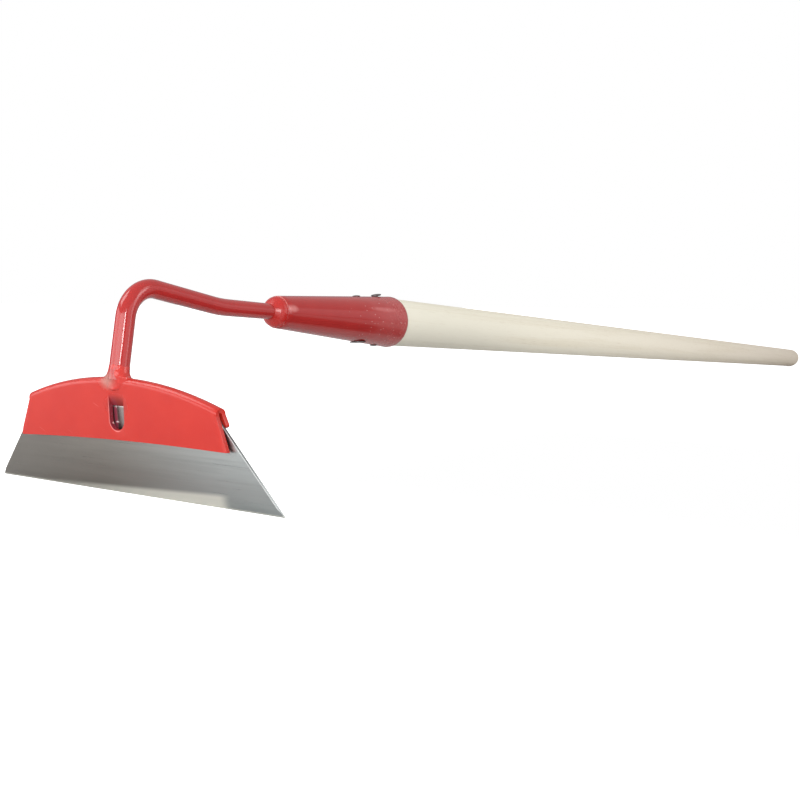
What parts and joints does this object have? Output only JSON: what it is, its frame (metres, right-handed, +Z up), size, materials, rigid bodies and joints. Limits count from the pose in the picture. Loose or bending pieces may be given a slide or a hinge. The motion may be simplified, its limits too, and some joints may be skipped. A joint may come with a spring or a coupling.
{
  "type": "beet hoe",
  "caption": "Long handled hoe with a trapezoid steel blade in a red folded holder, a swan neck, a conical socket and a pale ash handle.",
  "frame": {"origin": "middle of the ground land along the blade's cutting edge, on the floor that the hoe rests on", "axes": "+X along the cutting edge, +Y back towards the handle's end, +Z up"},
  "size_m": [0.255, 1.6506, 0.1358],
  "materials": {
    "blade_steel": "fine ground bare steel",
    "holder_paint": "semi-gloss red enamel",
    "neck_paint": "semi-gloss red enamel, thick over the weld",
    "socket_paint": "red enamel with fine dust specks",
    "ash_wood": "sanded, thin clear coat",
    "nail_steel": "dull dark steel"
  },
  "bodies": {
    "hoe": {"blade_holder": "holder_paint", "holder_weld": "neck_paint", "neck_rod": "neck_paint", "socket_weld": "socket_paint", "handle_socket": "socket_paint", "handle": "ash_wood", "nail_lower": "nail_steel", "nail_upper": "nail_steel"},
    "blade": {"blade": "blade_steel"}
  },
  "joints": [
    {"name": "blade_slide", "type": "slide", "parent": "hoe", "child": "blade", "axis": [0, 0.1097, -0.994], "range_m": [0, 0.03]}
  ]
}
